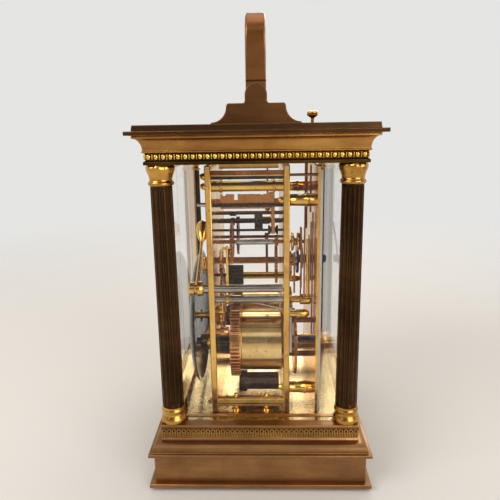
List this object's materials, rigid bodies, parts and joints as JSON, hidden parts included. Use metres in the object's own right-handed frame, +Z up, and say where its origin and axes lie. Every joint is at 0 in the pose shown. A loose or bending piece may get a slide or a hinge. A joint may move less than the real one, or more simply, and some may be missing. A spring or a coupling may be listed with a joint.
{
  "type": "carriage clock",
  "caption": "Glazed brass carriage clock with fluted corner columns, folding carrying handle, hinged rear door and a visible striking, repeating and alarm movement.",
  "frame": {"origin": "centre of the footprint, on the surface the clock stands on", "axes": "+Z up, the dial faces -Y, the rear door faces +Y, +X is to the right of someone facing the dial"},
  "size_m": [0.108, 0.098, 0.201],
  "materials": {
    "aged_bronze": "aged satin brown bronze with brighter worn edges",
    "dark_bronze": "dark brown patinated brass, satin",
    "gilt_brass": "polished gilt brass",
    "brass": "fine-brushed lacquered brass",
    "copper_brass": "toned red-brown brass",
    "steel": "polished steel",
    "blued_steel": "blued steel",
    "bell_metal": "nickelled bell metal",
    "enamel": "white vitreous enamel with black numerals",
    "glass": "clear bevelled plate glass"
  },
  "bodies": {
    "case": {"base_plate": "aged_bronze", "plinth": "aged_bronze", "base_frieze": "aged_bronze", "column_base_front_left": "gilt_brass", "column_shaft_front_left": "dark_bronze", "column_capital_front_left": "gilt_brass", "column_base_front_right": "gilt_brass", "column_shaft_front_right": "dark_bronze", "column_capital_front_right": "gilt_brass", "column_base_rear_left": "gilt_brass", "column_shaft_rear_left": "dark_bronze", "column_capital_rear_left": "gilt_brass", "column_base_rear_right": "gilt_brass", "column_shaft_rear_right": "dark_bronze", "column_capital_rear_right": "gilt_brass", "entablature": "gilt_brass", "cornice": "aged_bronze", "top_plate": "aged_bronze", "top_glass": "glass", "left_glass": "glass", "right_glass": "glass", "front_glass": "glass", "handle_post_left": "dark_bronze", "handle_post_right": "dark_bronze", "back_plate": "brass", "front_plate": "brass", "pillar_bottom_left": "gilt_brass", "pillar_top_left": "gilt_brass", "pillar_bottom_right": "gilt_brass", "pillar_top_right": "gilt_brass", "platform": "brass", "dial_plate": "brass", "dial": "enamel", "bell": "bell_metal"},
    "door": {"door_frame": "gilt_brass", "door_glass": "glass", "door_knob": "gilt_brass"},
    "handle": {"handle": "aged_bronze"},
    "repeat_button": {"repeat_button": "gilt_brass"},
    "repeat_lever": {"repeat_lever": "brass"},
    "going_barrel": {"going_barrel": "brass"},
    "strike_barrel": {"strike_barrel": "brass"},
    "alarm_barrel": {"alarm_barrel": "copper_brass"},
    "going_arbor": {"going_arbor": "steel"},
    "strike_arbor": {"strike_arbor": "steel"},
    "intermediate_wheel": {"intermediate_wheel": "brass"},
    "centre_wheel": {"centre_wheel": "brass", "minute_hand": "blued_steel"},
    "third_wheel": {"third_wheel": "copper_brass"},
    "contrate_wheel": {"contrate_wheel": "copper_brass"},
    "escape_wheel": {"escape_wheel": "brass"},
    "balance_wheel": {"balance_wheel": "gilt_brass"},
    "minute_wheel": {"minute_wheel": "brass"},
    "hour_hand": {"hour_hand": "blued_steel"},
    "alarm_hand": {"alarm_hand": "blued_steel"},
    "strike_second_wheel": {"strike_second_wheel": "brass"},
    "pin_wheel": {"pin_wheel": "copper_brass"},
    "warning_wheel": {"warning_wheel": "copper_brass"},
    "fly": {"fly": "copper_brass"},
    "hammer": {"hammer": "gilt_brass"}
  },
  "joints": [
    {"name": "door_swing", "type": "hinge", "parent": "case", "child": "door", "pos_m": [0.0359, 0.039, 0.085], "axis": [0, 0, -1], "range_deg": [0, 100]},
    {"name": "handle_fold", "type": "hinge", "parent": "case", "child": "handle", "pos_m": [0, 0, 0.1677], "axis": [1, 0, 0], "range_deg": [-90, 90]},
    {"name": "repeat_press", "type": "slide", "parent": "case", "child": "repeat_button", "axis": [0, 0, -1], "range_m": [0, 0.0022], "stiffness_N_per_m": 400},
    {"name": "repeat_lever_turn", "type": "hinge", "parent": "case", "child": "repeat_lever", "pos_m": [-0.015, 0, 0.0755], "axis": [0, 1, 0], "range_deg": [-0.1, 8]},
    {"name": "going_barrel_turn", "type": "hinge", "parent": "case", "child": "going_barrel", "pos_m": [0.017, 0, 0.0552], "axis": [0, 1, 0], "continuous": true},
    {"name": "intermediate_wheel_turn", "type": "hinge", "parent": "case", "child": "intermediate_wheel", "pos_m": [0.00898, 0, 0.07232], "axis": [0, 1, 0], "continuous": true},
    {"name": "centre_wheel_turn", "type": "hinge", "parent": "case", "child": "centre_wheel", "pos_m": [0, 0, 0.0915], "axis": [0, 1, 0], "continuous": true},
    {"name": "third_wheel_turn", "type": "hinge", "parent": "case", "child": "third_wheel", "pos_m": [0.00316, 0, 0.10217], "axis": [0, 1, 0], "continuous": true},
    {"name": "contrate_wheel_turn", "type": "hinge", "parent": "case", "child": "contrate_wheel", "pos_m": [0, 0, 0.1113], "axis": [0, 1, 0], "continuous": true},
    {"name": "escape_wheel_turn", "type": "hinge", "parent": "case", "child": "escape_wheel", "pos_m": [0, -0.0047, 0.14], "axis": [0, 0, 1], "continuous": true},
    {"name": "minute_wheel_turn", "type": "hinge", "parent": "case", "child": "minute_wheel", "pos_m": [0.00693, 0, 0.08676], "axis": [0, 1, 0], "continuous": true},
    {"name": "hour_hand_turn", "type": "hinge", "parent": "case", "child": "hour_hand", "pos_m": [0, 0, 0.0915], "axis": [0, 1, 0], "continuous": true},
    {"name": "balance_swing", "type": "hinge", "parent": "case", "child": "balance_wheel", "pos_m": [0, 0.0062, 0.1426], "axis": [0, 0, 1], "range_deg": [-135, 135], "stiffness_Nm_per_rad": 0.000005},
    {"name": "strike_barrel_turn", "type": "hinge", "parent": "case", "child": "strike_barrel", "pos_m": [-0.017, 0, 0.0552], "axis": [0, 1, 0], "continuous": true},
    {"name": "strike_second_wheel_turn", "type": "hinge", "parent": "case", "child": "strike_second_wheel", "pos_m": [-0.011, 0, 0.07312], "axis": [0, 1, 0], "continuous": true},
    {"name": "pin_wheel_turn", "type": "hinge", "parent": "case", "child": "pin_wheel", "pos_m": [-0.015, 0, 0.09392], "axis": [0, 1, 0], "continuous": true},
    {"name": "warning_wheel_turn", "type": "hinge", "parent": "case", "child": "warning_wheel", "pos_m": [-0.01892, 0, 0.10434], "axis": [0, 1, 0], "continuous": true},
    {"name": "fly_turn", "type": "hinge", "parent": "case", "child": "fly", "pos_m": [-0.01264, 0, 0.11276], "axis": [0, 1, 0], "continuous": true},
    {"name": "hammer_swing", "type": "hinge", "parent": "case", "child": "hammer", "pos_m": [-0.029, 0, 0.0853], "axis": [0, 1, 0], "range_deg": [-10, 7], "stiffness_Nm_per_rad": 0.05},
    {"name": "going_arbor_turn", "type": "hinge", "parent": "case", "child": "going_arbor", "pos_m": [0.017, 0, 0.0552], "axis": [0, 1, 0], "continuous": true},
    {"name": "strike_arbor_turn", "type": "hinge", "parent": "case", "child": "strike_arbor", "pos_m": [-0.017, 0, 0.0552], "axis": [0, 1, 0], "continuous": true},
    {"name": "alarm_barrel_turn", "type": "hinge", "parent": "case", "child": "alarm_barrel", "pos_m": [-0.014, 0, 0.0324], "axis": [0, 1, 0], "continuous": true},
    {"name": "alarm_hand_turn", "type": "hinge", "parent": "case", "child": "alarm_hand", "pos_m": [0, 0, 0.049], "axis": [0, 1, 0], "continuous": true}
  ],
  "couplings": [
    {"joint": "repeat_lever_turn", "follows": "repeat_press", "rad_per_m": 60},
    {"joint": "intermediate_wheel_turn", "follows": "going_barrel_turn", "ratio": -6},
    {"joint": "centre_wheel_turn", "follows": "going_barrel_turn", "ratio": 18},
    {"joint": "third_wheel_turn", "follows": "going_barrel_turn", "ratio": -108},
    {"joint": "contrate_wheel_turn", "follows": "going_barrel_turn", "ratio": 648},
    {"joint": "escape_wheel_turn", "follows": "going_barrel_turn", "ratio": 1851.4},
    {"joint": "minute_wheel_turn", "follows": "going_barrel_turn", "ratio": -6},
    {"joint": "hour_hand_turn", "follows": "going_barrel_turn", "ratio": 1.5},
    {"joint": "strike_second_wheel_turn", "follows": "strike_barrel_turn", "ratio": -6},
    {"joint": "pin_wheel_turn", "follows": "strike_barrel_turn", "ratio": 18},
    {"joint": "warning_wheel_turn", "follows": "strike_barrel_turn", "ratio": -108},
    {"joint": "fly_turn", "follows": "strike_barrel_turn", "ratio": 648}
  ]
}
